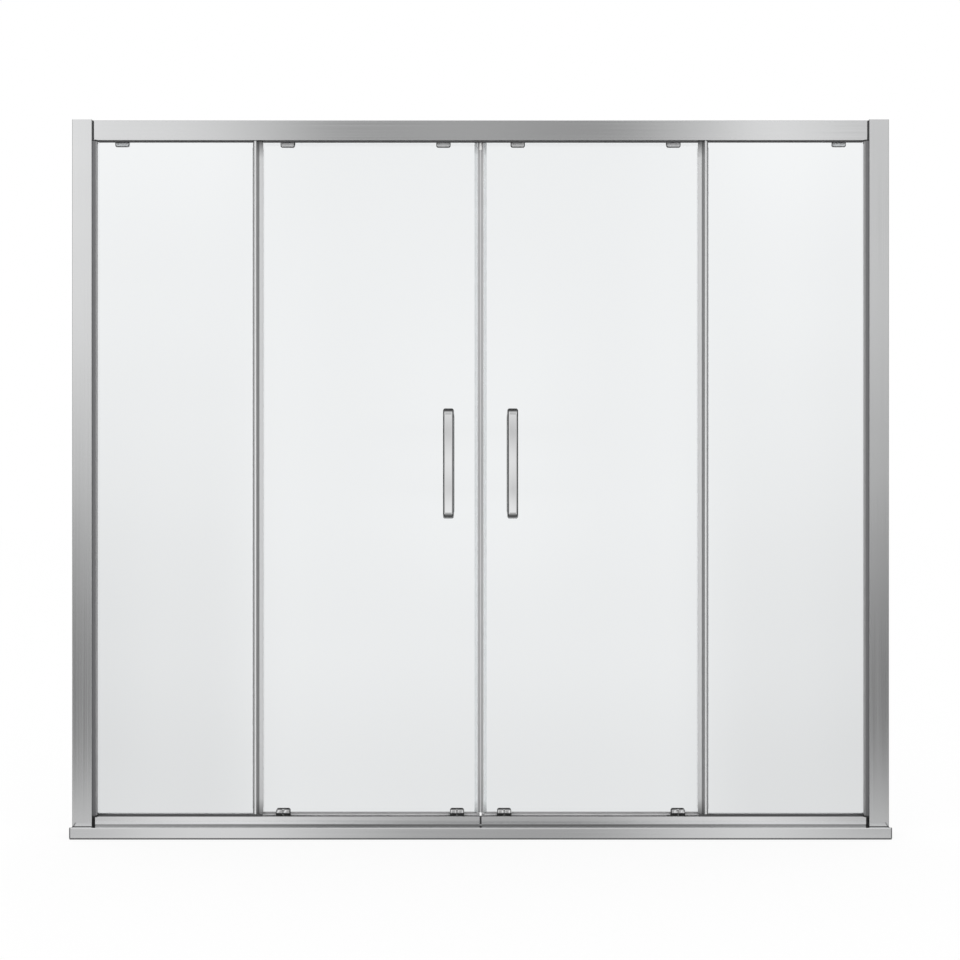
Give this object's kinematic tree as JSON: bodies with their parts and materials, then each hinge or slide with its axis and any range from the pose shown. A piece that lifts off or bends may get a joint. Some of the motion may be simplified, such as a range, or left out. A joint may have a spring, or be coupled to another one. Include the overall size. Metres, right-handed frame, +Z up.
{
  "type": "shower door",
  "caption": "Framed glass shower door for an alcove: sliding doors part behind fixed side panes, on rollers between an aluminium header, jambs and sill.",
  "frame": {"origin": "middle of the sill's underside", "axes": "+X along the opening to the right seen from outside, -Y to the outside, +Z up"},
  "size_m": [1.7, 0.102, 1.494],
  "materials": {
    "bright_aluminium": "bright anodised",
    "satin_aluminium": "satin anodised",
    "clear_glass": "clear toughened",
    "black_plastic": "moulded",
    "grey_plastic": "moulded",
    "white_plastic": "moulded",
    "black_rubber": "matt",
    "clear_seal": "translucent extruded",
    "grey_magnet": "extruded",
    "chrome": "polished",
    "steel": "plain",
    "nylon": "moulded"
  },
  "bodies": {
    "frame": {"wall_jamb_left": "bright_aluminium", "wall_jamb_right": "bright_aluminium", "inner_stile_left": "satin_aluminium", "inner_stile_right": "satin_aluminium", "header_rail": "bright_aluminium", "header_end_blocks": "black_plastic", "bottom_rail_left": "bright_aluminium", "bottom_rail_right": "bright_aluminium", "rail_end_blocks": "black_plastic", "sill": "bright_aluminium", "sill_end_caps": "grey_plastic", "fixed_glass_left": "clear_glass", "fixed_glass_right": "clear_glass", "glazing_gaskets": "black_rubber", "slot_infills": "black_rubber", "fixed_edge_profiles": "bright_aluminium", "fixed_edge_seals": "clear_seal", "header_stops": "chrome", "stop_bumpers": "black_rubber", "frame_screws": "steel"},
    "left_door": {"door_glass_left": "clear_glass", "magnet_seal_left": "clear_seal", "magnet_strip_left": "grey_magnet", "magnet_end_plugs_left": "white_plastic", "outer_edge_seal_left": "clear_seal", "outer_handle_left": "chrome", "inner_handle_left": "chrome", "handle_fixings_left": "steel", "top_carriages_left": "chrome", "carriage_screws_left": "steel", "roller_axles_left": "steel", "bottom_guides_left": "black_plastic", "guide_covers_left": "chrome", "guide_springs_left": "steel"},
    "top_wheel_left_outer": {"top_wheel_left_outer": "nylon"},
    "bottom_wheel_left_outer": {"bottom_wheel_left_outer": "nylon"},
    "release_button_left_outer": {"release_button_left_outer": "chrome"},
    "top_wheel_left_inner": {"top_wheel_left_inner": "nylon"},
    "bottom_wheel_left_inner": {"bottom_wheel_left_inner": "nylon"},
    "release_button_left_inner": {"release_button_left_inner": "chrome"},
    "right_door": {"door_glass_right": "clear_glass", "magnet_seal_right": "clear_seal", "magnet_strip_right": "grey_magnet", "magnet_end_plugs_right": "white_plastic", "outer_edge_seal_right": "clear_seal", "outer_handle_right": "chrome", "inner_handle_right": "chrome", "handle_fixings_right": "steel", "top_carriages_right": "chrome", "carriage_screws_right": "steel", "roller_axles_right": "steel", "bottom_guides_right": "black_plastic", "guide_covers_right": "chrome", "guide_springs_right": "steel"},
    "top_wheel_right_outer": {"top_wheel_right_outer": "nylon"},
    "bottom_wheel_right_outer": {"bottom_wheel_right_outer": "nylon"},
    "release_button_right_outer": {"release_button_right_outer": "chrome"},
    "top_wheel_right_inner": {"top_wheel_right_inner": "nylon"},
    "bottom_wheel_right_inner": {"bottom_wheel_right_inner": "nylon"},
    "release_button_right_inner": {"release_button_right_inner": "chrome"}
  },
  "joints": [
    {"name": "left_door_slide", "type": "slide", "parent": "frame", "child": "left_door", "axis": [-1, 0, 0], "range_m": [0, 0.31]},
    {"name": "top_wheel_left_outer_spin", "type": "hinge", "parent": "left_door", "child": "top_wheel_left_outer", "pos_m": [-0.405, 0.0273, 1.4718], "axis": [0, 1, 0], "continuous": true},
    {"name": "bottom_wheel_left_outer_spin", "type": "hinge", "parent": "left_door", "child": "bottom_wheel_left_outer", "pos_m": [-0.4145, 0.0271, 0.0303], "axis": [0, 1, 0], "continuous": true},
    {"name": "release_button_left_outer_press", "type": "slide", "parent": "left_door", "child": "release_button_left_outer", "axis": [0, 1, 0], "range_m": [0, 0.002], "stiffness_N_per_m": 400},
    {"name": "top_wheel_left_inner_spin", "type": "hinge", "parent": "left_door", "child": "top_wheel_left_inner", "pos_m": [-0.078, 0.0273, 1.4718], "axis": [0, 1, 0], "continuous": true},
    {"name": "bottom_wheel_left_inner_spin", "type": "hinge", "parent": "left_door", "child": "bottom_wheel_left_inner", "pos_m": [-0.0495, 0.0271, 0.0303], "axis": [0, 1, 0], "continuous": true},
    {"name": "release_button_left_inner_press", "type": "slide", "parent": "left_door", "child": "release_button_left_inner", "axis": [0, 1, 0], "range_m": [0, 0.002], "stiffness_N_per_m": 400},
    {"name": "right_door_slide", "type": "slide", "parent": "frame", "child": "right_door", "axis": [1, 0, 0], "range_m": [0, 0.31]},
    {"name": "top_wheel_right_outer_spin", "type": "hinge", "parent": "right_door", "child": "top_wheel_right_outer", "pos_m": [0.405, 0.0273, 1.4718], "axis": [0, 1, 0], "continuous": true},
    {"name": "bottom_wheel_right_outer_spin", "type": "hinge", "parent": "right_door", "child": "bottom_wheel_right_outer", "pos_m": [0.4145, 0.0271, 0.0303], "axis": [0, 1, 0], "continuous": true},
    {"name": "release_button_right_outer_press", "type": "slide", "parent": "right_door", "child": "release_button_right_outer", "axis": [0, 1, 0], "range_m": [0, 0.002], "stiffness_N_per_m": 400},
    {"name": "top_wheel_right_inner_spin", "type": "hinge", "parent": "right_door", "child": "top_wheel_right_inner", "pos_m": [0.078, 0.0273, 1.4718], "axis": [0, 1, 0], "continuous": true},
    {"name": "bottom_wheel_right_inner_spin", "type": "hinge", "parent": "right_door", "child": "bottom_wheel_right_inner", "pos_m": [0.0495, 0.0271, 0.0303], "axis": [0, 1, 0], "continuous": true},
    {"name": "release_button_right_inner_press", "type": "slide", "parent": "right_door", "child": "release_button_right_inner", "axis": [0, 1, 0], "range_m": [0, 0.002], "stiffness_N_per_m": 400}
  ],
  "couplings": [
    {"joint": "top_wheel_left_outer_spin", "follows": "left_door_slide", "rad_per_m": -111.11},
    {"joint": "bottom_wheel_left_outer_spin", "follows": "left_door_slide", "rad_per_m": -166.67},
    {"joint": "top_wheel_left_inner_spin", "follows": "left_door_slide", "rad_per_m": -111.11},
    {"joint": "bottom_wheel_left_inner_spin", "follows": "left_door_slide", "rad_per_m": -166.67},
    {"joint": "top_wheel_right_outer_spin", "follows": "right_door_slide", "rad_per_m": 111.11},
    {"joint": "bottom_wheel_right_outer_spin", "follows": "right_door_slide", "rad_per_m": 166.67},
    {"joint": "top_wheel_right_inner_spin", "follows": "right_door_slide", "rad_per_m": 111.11},
    {"joint": "bottom_wheel_right_inner_spin", "follows": "right_door_slide", "rad_per_m": 166.67}
  ]
}
